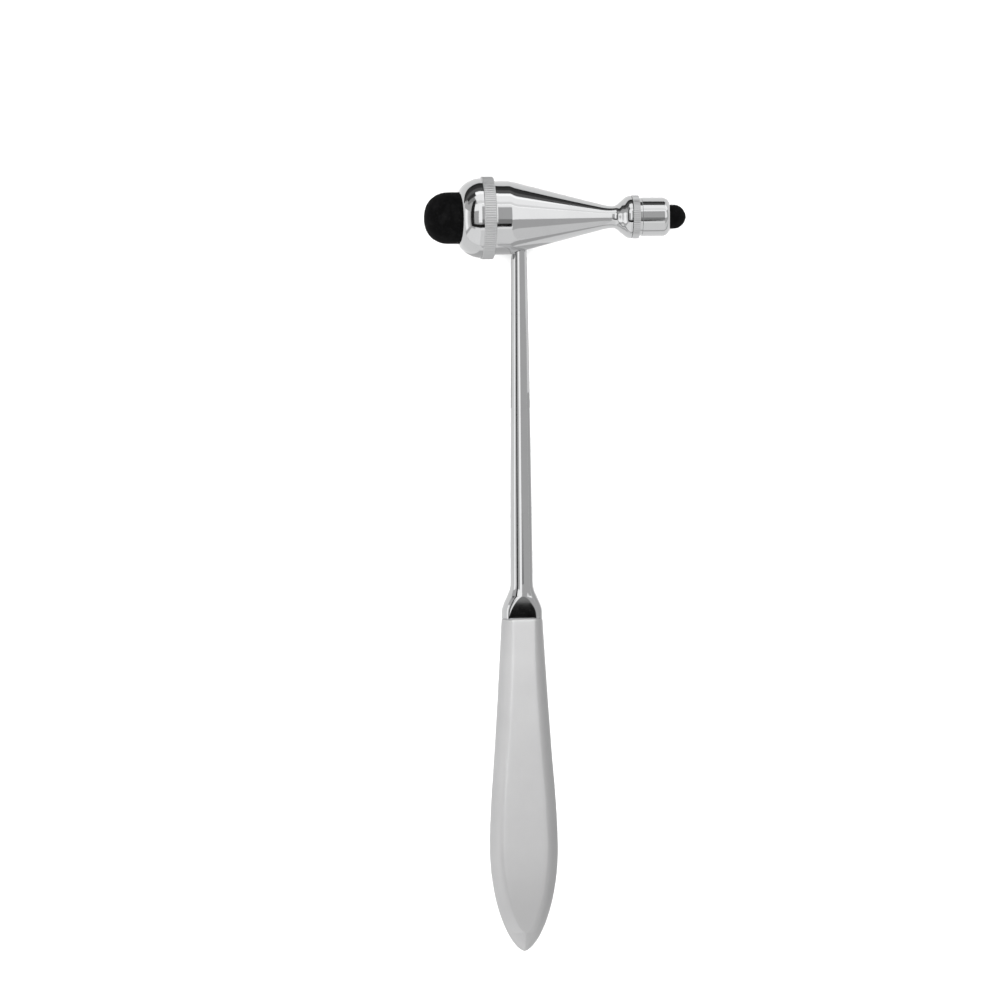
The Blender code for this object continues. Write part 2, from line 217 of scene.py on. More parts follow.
# straight knurl: radius sinks by depth x V of the groove's phase, and fades out at both edges
def knurl(x, r, angle, sizes, span):
    phase = sizes["teeth"] * angle / turn
    tent = np.abs(2 * (phase - np.floor(phase)) - 1)
    groove = np.clip(1 - tent / sizes["grooveShare"], 0, 1)
    low, high = sorted(span)
    inside = np.clip(np.minimum(x - low, high - x) / sizes["fade"], 0, 1)
    onRim = r > sizes["radius"] - sizes["depth"] * sizes["reach"]
    return r - sizes["depth"] * groove * inside * onRim


# one socket's value; + - * ** with numbers or other wires add Math nodes
class Wire:
    def __init__(self, nodes, socket):
        self.nodes = nodes
        self.socket = socket

    def math(self, operation, first, second):
        return self.nodes.add("ShaderNodeMath", {"operation": operation}, {0: first, 1: second})

    def __add__(self, other):
        return self.math("ADD", self, other)

    def __sub__(self, other):
        return self.math("SUBTRACT", self, other)

    def __rsub__(self, other):
        return self.math("SUBTRACT", other, self)

    def __mul__(self, other):
        return self.math("MULTIPLY", self, other)

    def __pow__(self, other):
        return self.math("POWER", self, other)

    def __rpow__(self, other):
        return self.math("POWER", other, self)

    __radd__ = __add__
    __rmul__ = __mul__

    # 0 below low, 1 above high, straight between
    def ramp(self, low, high):
        return self.nodes.add("ShaderNodeMapRange", {"clamp": True},
                              {0: self, 1: low, 2: high, 3: 0.0, 4: 1.0})


# the node tree of one material
class Nodes:
    def __init__(self, name):
        self.material = bpy.data.materials.new(name)
        self.material.use_nodes = True
        self.tree = self.material.node_tree
        self.shader = self.tree.nodes["Principled BSDF"]

    # any node: its settings first, then the values or wires of its sockets
    def add(self, kind, settings=None, links=None, output=0):
        node = self.tree.nodes.new(kind)
        for key, value in (settings or {}).items():
            setattr(node, key, value)
        for key, value in (links or {}).items():
            self.put(node.inputs[key], value)
        return Wire(self, node.outputs[output])

    # a wire is linked to the socket, anything else is set on it
    def put(self, socket, value):
        if isinstance(value, Wire):
            self.tree.links.new(value.socket, socket)
        else:
            socket.default_value = value

    # the shader's own sockets
    def set(self, **values):
        for key, value in values.items():
            self.put(self.shader.inputs[key.replace("_", " ")], value)

    # object coordinates turned into the hammer's axes, in millimetres
    def hammerCoordinates(self):
        place = self.add("ShaderNodeTexCoord", output="Object")
        angles = Matrix(axes.tolist()).to_euler()
        return self.add("ShaderNodeMapping", {"vector_type": "TEXTURE"},
                        {"Vector": place, "Location": crossing, "Rotation": angles, "Scale": (mm, mm, mm)})

    def split(self, vector):
        node = self.add("ShaderNodeSeparateXYZ", None, {0: vector}).socket.node
        return [Wire(self, node.outputs[k]) for k in range(3)]

    # the vector with each axis drawn out or pressed together
    def stretch(self, wires, factors):
        return self.add("ShaderNodeCombineXYZ", None, {k: wires[k] * factors[k] for k in range(3)})

    # kind = scale in features for each unit of the vector, detail, roughness
    def noise(self, vector, kind):
        scale, detail, roughness = kind
        return self.add("ShaderNodeTexNoise", None,
                        {"Vector": vector, "Scale": scale, "Detail": detail, "Roughness": roughness})

    def mixColours(self, factor, first, second):
        first, second = (side if isinstance(side, Wire) else (*side, 1.0) for side in (first, second))
        return self.add("ShaderNodeMix", {"data_type": "RGBA"}, {0: factor, 6: first, 7: second}, output=2)

    # depth in metres; under = a bump that this one lies on
    def bump(self, height, strength, depth, under=None):
        links = {"Height": height, "Strength": strength, "Distance": depth}
        if under:
            links["Normal"] = under
        return self.add("ShaderNodeBump", None, links)


# each noise = features per millimetre, detail, roughness; each range = where it starts and is full
chromeLook = {
    "colour": (0.575, 0.578, 0.582), "hazeColour": (0.52, 0.523, 0.527), "grooveDarkColour": (0.10, 0.10, 0.10),
    "hazeNoise": (0.11, 4.0, 0.6), "hazeRange": (0.42, 0.75), "hazeTint": 0.35,
    "speckNoise": (3.1, 1.0, 0.5), "speckRange": (0.74, 0.80), "speckTint": 0.3,
    "polishNoise": (1.0, 2.0, 0.55), "polishDepth": 0.0000006,
    "waveNoise": (0.16, 1.0, 0.5), "waveDepth": 0.000004, "bumpStrength": 0.6,
    "roughness": 0.045, "hazeRoughness": 0.07, "speckRoughness": 0.12, "polishRoughness": 0.02,
    "grooveDarkRoughness": 0.35, "rimRoughness": 0.28,
}


# mirror chrome: haze = slow noise, polishing marks = noise drawn out along the marks, waves = very
# slow noise; the grooves are darker and rougher towards their bottoms, and the rim is rougher, where the rimMask
# says
def polishedChrome(name, marks, rimMask=None):
    look = chromeLook
    nodes = Nodes(name)
    place = nodes.hammerCoordinates()
    wires = nodes.split(place)
    haze = nodes.noise(place, look["hazeNoise"]).ramp(*look["hazeRange"])
    polish = nodes.noise(nodes.stretch(wires, marks), look["polishNoise"])
    waves = nodes.noise(place, look["waveNoise"])
    specks = nodes.noise(place, look["speckNoise"]).ramp(*look["speckRange"])
    tint = haze * look["hazeTint"] + specks * look["speckTint"]
    colour = nodes.mixColours(tint, look["colour"], look["hazeColour"])
    roughness = (look["roughness"] + haze * look["hazeRoughness"] + specks * look["speckRoughness"]
                 + polish * look["polishRoughness"])
    if rimMask:
        grooveDark, onRim = rimMask(*wires)
        # the grooves darker and rougher towards their bottoms
        colour = nodes.mixColours(grooveDark, colour, look["grooveDarkColour"])
        roughness = roughness + grooveDark * look["grooveDarkRoughness"] + onRim * look["rimRoughness"]
    smallBumps = nodes.bump(polish, look["bumpStrength"], look["polishDepth"])
    bigBumps = nodes.bump(waves, look["bumpStrength"], look["waveDepth"], smallBumps)
    nodes.set(Base_Color=colour, Metallic=1.0, Roughness=roughness, Normal=bigBumps)
    return nodes.material


# the darkening's top and the reach, in groove depths under the rim's radius; outer and inner in millimetres
rimFade = {"grooveDarkTop": 0.25, "reach": (1.6, 1.3), "outer": 0.05, "inner": 0.1}


# where a rim is, and how much darker its grooves are towards their bottoms: the distance from the head's
# axis, sqrt(y^2 + z^2), says so. The darkening is full at the bottom of the grooves and gone a quarter
# of the depth under the rim's radius
def rimGrooveMask(sizes):
    rim, depth, fade = sizes["radius"], sizes["depth"], rimFade
    low, high = sorted(sizes["span"])

    def mask(x, y, z):
        radius = (y * y + z * z) ** 0.5
        deep = 1 - radius.ramp(rim - depth, rim - fade["grooveDarkTop"] * depth)
        near = (x.ramp(low - fade["outer"], low + fade["inner"])
                * (1 - x.ramp(high - fade["inner"], high + fade["outer"])))
        outside = radius.ramp(rim - fade["reach"][0] * depth, rim - fade["reach"][1] * depth)
        onRim = near * outside
        return deep * onRim * sizes["grooveDark"], onRim
    return mask


satinLook = {
    "colour": (0.575, 0.575, 0.577), "darkColour": (0.53, 0.53, 0.533),
    "grainNoise": (5.5, 3.0, 0.6), "grainTint": 0.4, "grainDepth": 0.000012, "bumpStrength": 0.5,
    "patchNoise": (0.09, 3.0, 0.5), "patchRange": (0.3, 0.75), "patchTint": 0.6, "tintOffset": -0.1,
    "dragNoise": (1.0, 2.0, 0.5), "dragStretch": (3.0, 0.12, 3.0),
    "wearNoise": (0.3, 3.0, 0.5), "wearRange": (0.3, 0.6), "wearSwing": 0.4,
    "roughness": 0.44, "patchRoughness": 0.07, "dragRoughness": 0.05, "wornRoughness": 0.42,
}


# satin chrome: a blasted grain of fine noise, slow patches of colour and roughness, and ridges worn
# smoother where the wear attribute is 1
def satinChrome():
    look = satinLook
    nodes = Nodes("satinChrome")
    place = nodes.hammerCoordinates()
    grain = nodes.noise(place, look["grainNoise"])
    patches = nodes.noise(place, look["patchNoise"])
    drag = nodes.noise(nodes.stretch(nodes.split(place), look["dragStretch"]), look["dragNoise"])
    wear = nodes.add("ShaderNodeAttribute", {"attribute_name": "wear"}, output="Fac")
    wearPatches = nodes.noise(place, look["wearNoise"]).ramp(*look["wearRange"])
    worn = wear * (1 - look["wearSwing"] + wearPatches * look["wearSwing"])
    tint = (patches.ramp(*look["patchRange"]) * look["patchTint"] + grain * look["grainTint"]
            + look["tintOffset"])
    colour = nodes.mixColours(tint, look["colour"], look["darkColour"])
    roughness = (look["roughness"] + patches * look["patchRoughness"] + drag * look["dragRoughness"]
                 - worn * (look["roughness"] - look["wornRoughness"]))
    bumps = nodes.bump(grain, look["bumpStrength"], look["grainDepth"])
    nodes.set(Base_Color=colour, Metallic=1.0, Roughness=roughness, Normal=bumps)
    return nodes.material


rubberLook = {
    "colour": (0.0012, 0.0012, 0.0013), "bloomColour": (0.009, 0.009, 0.0093),
    "patchNoise": (0.35, 4.0, 0.65), "patchRange": (0.45, 0.8), "patchBloom": 0.5,
    "speckNoise": (1.7, 2.0, 0.5), "speckRange": (0.62, 0.72), "speckBloom": 0.35,
    "grainNoise": (3.0, 4.0, 0.6), "patchHeight": 0.6, "grainDepth": 0.00006, "bumpStrength": 0.55,
    "roughness": 0.64, "patchRoughness": 0.2, "speckRoughness": 0.08, "specular": 0.05,
}


# black rubber: matte black with a faint grey bloom in patches and specks, and a fine moulded grain
def blackRubber():
    look = rubberLook
    nodes = Nodes("blackRubber")
    place = nodes.hammerCoordinates()
    patches = nodes.noise(place, look["patchNoise"])
    grain = nodes.noise(place, look["grainNoise"])
    specks = nodes.noise(place, look["speckNoise"]).ramp(*look["speckRange"])
    bloom = patches.ramp(*look["patchRange"]) * look["patchBloom"] + specks * look["speckBloom"]
    colour = nodes.mixColours(bloom, look["colour"], look["bloomColour"])
    roughness = look["roughness"] + patches * look["patchRoughness"] + specks * look["speckRoughness"]
    bumps = nodes.bump(grain + patches * look["patchHeight"], look["bumpStrength"], look["grainDepth"])
    nodes.set(Base_Color=colour, Roughness=roughness, Normal=bumps, Specular_IOR_Level=look["specular"])
    return nodes.material


# sizes that the head and its two caps share: x and radii in millimetres
largeEnd = {
    "shoulder": -8.2, "spigotEnd": -14.0, "root": 9.4, "threadDepth": 0.75, "pitch": 1.5, "play": 0.12,
    "relief": 0.35, "bevel": (0.25, 0.7), "out": -1,
}
smallEnd = {
    "shoulder": 35.8, "spigotEnd": 41.6, "root": 4.22, "threadDepth": 0.5, "pitch": 1.0, "play": 0.1,
    "relief": 0.3, "bevel": (0.2, 0.35), "out": 1,
}
largeRim = {
    "radius": 13.1, "depth": 0.15, "span": (-8.4, -12.15), "fade": 0.22, "teeth": 100, "grooveShare": 0.5,
    "reach": 1.5, "grooveDark": 0.2,
}
smallRim = {
    "radius": 6.85, "depth": 0.12, "span": (36.0, 38.3), "fade": 0.2, "teeth": 62, "grooveShare": 0.5,
    "reach": 1.5, "grooveDark": 0.2,
}
# a spigot's thread starts the first distance past its shoulder, and stops the second short of its end
threadRun = (0.3, 0.2)
axisGap = 0.05      # radius of the small ring that an end row closes from

headBody = {
    "segments": 240, "barrelRadius": 11.62, "flangeRadius": 6.8, "edge": 0.12,
    "barrelToCone": ((-3.6, 11.62), (-2.8, 11.62), (-1.9, 11.36), (0.0, 10.87)),
    "coneToNeck": ((26.2, 4.08), (27.4, 3.77), (28.6, 3.47), (29.9, 3.47)),
    "neckToFlare": ((29.9, 3.47), (31.3, 3.47), (31.5, 4.25), (32.63, 5.1)),
    "flareToFlange": ((32.63, 5.1), (33.5, 5.75), (33.9, 6.5), (35.3, 6.8)),
    "socketRadius": 2.53, "socketFloor": 9.75, "holeRadius": 2.03, "holeEnd": -1.6, "cutterEnd": 16.0,
    "socketSegments": 64,
}


# the head's outline from the large spigot's end to the small one's: spigots of root radius, a barrel,
# a straight cone, a waist and a flange; the barrel's edge is a quarter round,
# x = e (1 - cos), r = e sin
def makeHeadBody(material):
    s, big, small = headBody, largeEnd, smallEnd
    e, barrel, flange = s["edge"], s["barrelRadius"], s["flangeRadius"]
    quarter = np.linspace(0, math.pi / 2, 4)
    barrelEdge = np.column_stack([big["shoulder"] + e * (1 - np.cos(quarter)),
                                  barrel - e + e * np.sin(quarter)])
    profile = outline(
        (big["spigotEnd"], axisGap), (big["spigotEnd"], big["root"] - big["bevel"][1], 3),
        (big["spigotEnd"] + big["bevel"][0], big["root"], 2),
        (big["shoulder"] - big["relief"], big["root"], 70), (big["shoulder"], big["root"], 2),
        (big["shoulder"], barrel - e, 4), barrelEdge, (s["barrelToCone"][0][0], barrel, 6),
        bezier(s["barrelToCone"], 20), (*s["coneToNeck"][0], 26),
        bezier(s["coneToNeck"], 12), bezier(s["neckToFlare"], 16), bezier(s["flareToFlange"], 14),
        (small["shoulder"] - e, flange, 1), (small["shoulder"], flange - e, 1),
        (small["shoulder"], small["root"], 3), (small["shoulder"] + small["relief"], small["root"], 2),
        (small["spigotEnd"] - small["bevel"][0], small["root"], 64),
        (small["spigotEnd"], small["root"] - small["bevel"][1], 2), (small["spigotEnd"], axisGap, 3))

    def threads(x, r, angle):
        for end in (big, small):
            start = end["shoulder"] + threadRun[0] * end["out"]
            stop = end["spigotEnd"] - threadRun[1] * end["out"]
            wave, runIn, between = threadWave(x, angle, start, stop, end["pitch"])
            onRoot = np.isclose(r, end["root"], rtol=0, atol=1e-6)
            r = np.where(onRoot & between, r + end["threadDepth"] * wave * runIn, r)
        return r

    mesh = gridMesh("headBody", turnedGrid(profile, s["segments"], threads))
    piece = finishPiece("headBody", mesh, material, "hammer", "head_body")
    cutSocket(piece)


# socket for the shaft: a round cutter along -y with the tenon's hole and a wider seat, taken out of
# the body
def cutSocket(body):
    s = headBody
    hole, seat = s["holeRadius"], s["socketRadius"]
    steps = np.array([(s["holeEnd"], axisGap), (s["holeEnd"], hole), (s["socketFloor"], hole),
                      (s["socketFloor"], seat), (s["cutterEnd"], seat), (s["cutterEnd"], axisGap)])
    along, across, up = np.moveaxis(turnedGrid(steps, s["socketSegments"]), -1, 0)
    mesh = gridMesh("socketCutter", np.stack([across, -along, up], axis=-1))
    faceOutwards(mesh)
    cutter = bpy.data.objects.new("socketCutter", mesh)
    bpy.context.scene.collection.objects.link(cutter)
    modifier = body.modifiers.new("socket", "BOOLEAN")
    modifier.operation = "DIFFERENCE"
    modifier.solver = "EXACT"
    modifier.object = cutter
    graph = bpy.context.evaluated_depsgraph_get()
    finished = bpy.data.meshes.new_from_object(body.evaluated_get(graph))
    body.modifiers.clear()
    body.data = finished
    shadeSmooth(finished, sharpAngle)
    bpy.data.objects.remove(cutter)
    print("cut the shaft's socket:", len(finished.polygons), "faces")


largeCap = {
    "segments": 700, "gap": 0.12, "rimWidth": 3.8, "edge": 0.18, "rearBevel": (0.35, 0.3), "step": 0.02,
    "noseStart": -12.8, "noseLength": 6.2, "noseRadius": 12.6, "noseFace": 8.0, "noseRoundness": (1.5, 1.8),
    "mouth": ((0.02, 0.07), 0.16, 0.12), "bore": 8.22, "seat": -16.75, "seatRadius": 9.7, "seatGap": 0.3,
}


# bell-nosed cap, a closed ring: rear face, knurled rim, bell as a superellipse, mouth, bore, seat,
# inside thread
def makeLargeCap(material):
    s, end = largeCap, largeEnd
    rear = end["shoulder"] - s["gap"]
    front = rear - s["rimWidth"]
    rim, e, bore = largeRim["radius"], s["edge"], s["bore"]
    major = end["root"] + end["threadDepth"] + end["play"]
    lipEdge, mouthDepth, lipWidth = s["mouth"]
    nose = arc(s["noseStart"], -s["noseLength"], s["noseRadius"], s["noseRoundness"], 40, s["noseFace"])
    nose = nose[nose[:, 1] > bore + lipWidth]
    noseEnd = s["noseStart"] - s["noseLength"]
    seatEnd = end["spigotEnd"] - s["seatGap"]
    profile = outline(
        (rear, major + s["rearBevel"][1]), (rear, rim - e, 5), (rear - e, rim, 2), (front + e, rim, 12),
        (front, rim - e, 2), (front, s["noseRadius"] + s["step"], 1), (s["noseStart"], s["noseRadius"], 2),
        nose, (noseEnd + lipEdge[0], nose[-1, 1] - lipEdge[1], 1), (noseEnd + mouthDepth, bore, 2),
        (s["seat"], bore, 3), (s["seat"], s["seatRadius"], 2), (seatEnd, s["seatRadius"], 3),
        (seatEnd, major, 1), (rear - s["rearBevel"][0], major, 56))

    def shape(x, r, angle):
        return insideThread(x, knurl(x, r, angle, largeRim, (rear, front)), angle, end, major)

    mesh = gridMesh("largeCap", turnedGrid(profile, s["segments"], shape), ring=True)
    finishPiece("largeCap", mesh, material, "large_cap", "large_cap")


# the inside thread follows the spigot's own wave, further out by the play: radius = root + play +
# depth x wave
def insideThread(x, r, angle, end, major):
    wave, runIn, between = threadWave(x, angle, end["shoulder"], end["spigotEnd"], end["pitch"])
    onWall = np.isclose(r, major, rtol=0, atol=1e-6)
    return np.where(onWall & between, major - end["threadDepth"] * (1 - wave) * runIn, r)


smallCap = {
    "segments": 496, "gap": 0.1, "rimWidth": 2.25, "edge": 0.14, "rearBevel": (0.25, 0.2),
    "grooveRadius": 5.92, "grooveWidth": 0.9, "grooveBevels": (0.1, 0.08, 0.06), "radius": 6.12,
    "end": 47.95, "noseLength": 2.05, "noseFace": 4.1, "noseRoundness": (1.8, 1.8),
    "mouth": ((0.03, 0.1), 0.12), "bore": 3.82, "seat": 44.1, "seatRadius": 4.85, "seatGap": 0.25,
}


# small cap, a closed ring: rear face, knurled rim, groove, cylinder, rounded nose, bore, seat, inside
# thread
def makeSmallCap(material):
    s, end = smallCap, smallEnd
    rear = end["shoulder"] + s["gap"]
    front = rear + s["rimWidth"]
    rim, e, bore, groove, radius = smallRim["radius"], s["edge"], s["bore"], s["grooveRadius"], s["radius"]
    major = end["root"] + end["threadDepth"] + end["play"]
    bevelIn, bevelOut, bevelTop = s["grooveBevels"]
    lipEdge, mouthDepth = s["mouth"]
    grooveEnd = front + s["grooveWidth"]
    noseStart = s["end"] - s["noseLength"]
    seatEnd = end["spigotEnd"] + s["seatGap"]
    nose = arc(noseStart, s["noseLength"], radius, s["noseRoundness"], 20, s["noseFace"])
    profile = outline(
        (rear, major + s["rearBevel"][1]), (rear, rim - e, 4), (rear + e, rim, 2), (front - e, rim, 10),
        (front, rim - e, 2), (front, groove + bevelIn, 2), (front + bevelIn, groove, 1),
        (grooveEnd - bevelOut, groove, 3), (grooveEnd, groove + bevelOut, 1),
        (grooveEnd, radius - bevelTop, 1), (grooveEnd + bevelTop, radius, 1), (noseStart, radius, 10), nose,
        (s["end"] - lipEdge[0], bore + lipEdge[1], 1), (s["end"] - mouthDepth, bore, 1),
        (s["seat"], bore, 4), (s["seat"], s["seatRadius"], 2), (seatEnd, s["seatRadius"], 2),
        (seatEnd, major, 1), (rear + s["rearBevel"][0], major, 56))

    def shape(x, r, angle):
        return insideThread(x, knurl(x, r, angle, smallRim, (rear, front)), angle, end, major)

    mesh = gridMesh("smallCap", turnedGrid(profile, s["segments"], shape), ring=True)
    finishPiece("smallCap", mesh, material, "small_cap", "small_cap")


largeMallet = {
    "segments": 160, "flangeRear": -14.12, "flangeFront": -16.65, "flangeRadius": 9.5, "radius": 8.16,
    "domeStart": -22.4, "domeLength": -7.7, "roundness": (2.1, 2.3), "unevenness": 0.02, "edge": 0.25,
    "tipGap": 0.02,
}
smallMallet = {
    "segments": 128, "flangeRear": 41.72, "flangeFront": 44.0, "flangeRadius": 4.7, "radius": 3.77,
    "domeStart": 49.4, "domeLength": 3.95, "roundness": (2.3, 1.6), "unevenness": 0.012, "edge": 0.25,
    "tipGap": 0.02,
}


# rubber plug: flat back, flange, plain stem, dome as a superellipse; the moulded skin swells and
# sinks by unevenness x sin(3 angle + x) sin(2 angle - x/2), but for the small rings on the axis
def makeMallet(name, s, body, node, material):
    e, flange, rear, front = s["edge"], s["flangeRadius"], s["flangeRear"], s["flangeFront"]
    inwards = math.copysign(e, s["domeLength"])
    profile = outline(
        (rear, axisGap), (rear, flange - e, 4), (rear + inwards, flange, 3),
        (front - inwards, flange, 4), (front, flange - e, 3),
        (front, s["radius"], 2), (s["domeStart"], s["radius"], 14),
        arc(s["domeStart"], s["domeLength"], s["radius"], s["roundness"], 48)[:-1],
        (s["domeStart"] + s["domeLength"], s["tipGap"], 1))

    def skin(x, r, angle):
        swell = s["unevenness"] * np.sin(3 * angle + x) * np.sin(2 * angle - x / 2)
        return r + swell * (r > 4 * axisGap)

    mesh = gridMesh(name, turnedGrid(profile, s["segments"], skin))
    finishPiece(name, mesh, material, body, node)


# shaft and handle: distances run down from the head's axis, in millimetres; a section's sizes are its
# half width, the half width of its flat, its half height and its roundness
handle = {
    "start": 126.9, "end": 232.699, "halfThickness": 5.2, "wall": 1.0, "cavityEnd": 226.0,
    "cavityFade": 12.0,
    "halfWidths": ((126.9, 6.5), (147.0, 7.67), (166.0, 8.9), (185.0, 10.3), (193.0, 10.71),
                   (199.5, 10.86)),
    "flats": ((126.9, 3.35), (140.0, 3.5), (150.0, 3.9), (166.0, 4.9), (185.0, 6.35), (198.0, 6.95)),
    "widthTaper": (199.5, 232.7, 2.0, 1.6), "flatTaper": (198.0, 226.5, 2.0, 1.6),
    "thicknessTaper": (200.0, 232.7, 2.4, 2.0), "roundness": (1.6, 1.4), "rows": 230, "crowding": 1.7,
    "columns": (36, 10), "topRounding": 0.6, "topRows": 7, "seamGap": 0.012, "wearWidth": 0.5, "sharp": 50,
}
# what each of a section's sizes loses for a millimetre in: over the top edge, and under the wall
edgeShare = np.array([1.0, 0.3, 1.0, 0.0])[:, None]
wallShare = np.array([1.0, 0.4, 1.0, 0.0])[:, None]
leastSize = 0.02        # no section is narrower or lower than this

shaft = {
    "tenonTop": -1.0, "tenonRadius": 1.98, "tenonBevel": 0.4, "tenonStep": 4.0, "shoulder": 9.9,
    "shoulderBevel": (0.05, 0.03), "radii": ((9.9, 2.46), (60.0, 3.06), (90.0, 3.38), (115.5, 3.57)),
    "rows": (90, 40, 70), "flareStart": 115.9, "flareEnd": 125.0, "halfWidth": 6.46, "squat": 0.72,
    "facetStart": 119.8, "facetDrop": 0.65, "dropPower": 1.25, "facetHalfWidth": 4.3, "widthPower": 0.8,
    "middleShare": 0.4, "gather": 4.0, "gap": 0.01, "plugLength": 7.0, "plugPlay": 0.05,
    "columns": (24, 21), "sharp": 40,
}


# superellipse taper: full x (1 - u^a)^(1/b), u from 0 at start to 1 at end
def tapered(taper, at, full):
    start, end, along, out = taper
    u = np.clip((at - start) / (end - start), 0, 1)
    return full * (1 - u**along) ** (1 / out)


# the handle's sizes: smooth through the stations, tapered to the tip, rounder towards the start
def handleSizes(at):
    s = handle
    widthStart, flatStart = s["widthTaper"][0], s["flatTaper"][0]
    width = tapered(s["widthTaper"], at, smooth(s["halfWidths"], np.minimum(at, widthStart)))
    flat = tapered(s["flatTaper"], at, smooth(s["flats"], np.minimum(at, flatStart)))
    thickness = tapered(s["thicknessTaper"], at, s["halfThickness"])
    share = np.clip((at - s["start"]) / (widthStart - s["start"]), 0, 1)
    first, last = s["roundness"]
    return np.stack([width, flat, thickness, first + (last - first) * share])


# rod's radius, and the bolster's half width: the rod's, smoothly blended over the flare into the half
# width
def shaftRadius(at):
    s = shaft
    foot, footRadius = s["radii"][-1]
    flare = smoothStep((at - s["flareStart"]) / (s["flareEnd"] - s["flareStart"]))
    return smooth(s["radii"], np.minimum(at, foot)) + (s["halfWidth"] - footRadius) * flare


# the bolster is lower than it is wide: height = rod + squat x (radius - rod). An arched facet is
# ground on it: with u from 0 to 1 its height sinks by drop x u^1.25 and its half width grows as
# (1 - (1-u)^2)^0.8
def shaftSizes(at):
    s = shaft
    radius = shaftRadius(at)
    rod = s["radii"][-1][1]
    u = np.clip((at - s["facetStart"]) / (handle["start"] - s["facetStart"]), 0, 1)
    rounded = np.minimum(radius, rod) + s["squat"] * np.maximum(radius - rod, 0)
    startRadius = shaftRadius(np.array([s["facetStart"]]))[0]
    ground = rod + s["squat"] * (startRadius - rod) - s["facetDrop"] * u ** s["dropPower"]
    flat = s["facetHalfWidth"] * (1 - (1 - u) ** 2) ** s["widthPower"]
    roundness = 2 + (handle["roundness"][0] - 2) * u
    return np.stack([radius, flat, np.where(u > 0, ground, rounded), roundness])


# half a section, from its right side over the top to its left: x = flat + (width - flat) cos^(2/n)
# and z = height sin^(2/n) with a straight flat between; where topHalf is above 0 an ellipse instead,
# x = width cos and z = height sin, whose middle columns span that half width
def halfSection(at, sizes, columns, topHalf=None):
    width, flat, height, roundness = (part[:, None] for part in sizes)
    top = np.zeros_like(width) if topHalf is None else topHalf[:, None]
    isRound = top > 0
    end = np.where(isRound, np.arccos(np.clip(top / width, 0, 1)), math.pi / 2)
    angle = end * np.linspace(0, 1, columns[0] + 1)
    across, up = np.clip(np.cos(angle), 0, 1), np.sin(angle)
    x = np.where(isRound, width * across, flat + (width - flat) * across ** (2 / roundness))
    z = height * np.where(isRound, up, up ** (2 / roundness))
    overX = x[:, -1:] * np.linspace(1, -1, columns[1] + 2)[1:-1]
    overZ = np.where(isRound, height * np.sqrt(np.clip(1 - (overX / width) ** 2, 0, None)), z[:, -1:])
    x = np.concatenate([x, overX, -x[:, ::-1]], axis=1)
    z = np.concatenate([z, overZ, z[:, ::-1]], axis=1)
    return np.stack([x, np.repeat(-np.asarray(at, float)[:, None], x.shape[1], axis=1), z], axis=-1)


# whole section = the half and the same half turned by half a turn, which share their two side points
def wholeSection(at, sizes, columns, topHalf=None):
    half = halfSection(at, sizes, columns, topHalf)
    return np.concatenate([half, half[:, 1:-1] * np.array([-1, 1, -1])], axis=1)


# tenon, shoulder, rod, bolster and plug in one run of sections. The rod's middle columns draw
# together to the facet's point: half width = middleShare x r there, and the least size at the point
def makeShaft(material):
    s = shaft
    columns, tenon, top = s["columns"], s["tenonRadius"], s["tenonTop"]
    bevelAlong, bevelOut = s["shoulderBevel"]

    def roundRows(*rows):
        at, radius = np.array(rows).T
        sizes = np.stack([radius, 0 * radius, radius, 0 * radius + 2])
        return wholeSection(at, sizes, columns, s["middleShare"] * radius)

    head = roundRows((top, axisGap), (top, tenon - s["tenonBevel"]), (top + s["tenonBevel"], tenon),
                     (s["tenonStep"], tenon), (s["shoulder"], tenon),
                     (s["shoulder"] + s["gap"], s["radii"][0][1] - bevelOut))
    rodRows, flareRows, facetRows = s["rows"]
    rod = np.concatenate([
        np.linspace(s["shoulder"] + bevelAlong, s["flareStart"], rodRows)[:-1],
        np.linspace(s["flareStart"], s["facetStart"], flareRows)[:-1],
        np.linspace(s["facetStart"], handle["start"] - 2 * s["gap"], facetRows)])
    sizes = shaftSizes(rod)
    together = smoothStep((s["facetStart"] - rod) / s["gather"])
    middle = leastSize + s["middleShare"] * sizes[0] * together
    sizes[1] = np.maximum(sizes[1], leastSize)
    stem = wholeSection(rod, sizes, columns, np.where(rod <= s["facetStart"], middle, 0))
    plugAt = np.array([handle["start"] - s["gap"], handle["start"] + s["plugLength"]])
    plug = wholeSection(plugAt, handleSizes(plugAt) - wallShare * (handle["wall"] + s["plugPlay"]), columns)
    mesh = gridMesh("shaftRod", np.concatenate([head, stem, plug]))
    finishPiece("shaftRod", mesh, material, "hammer", "shaft", s["sharp"])


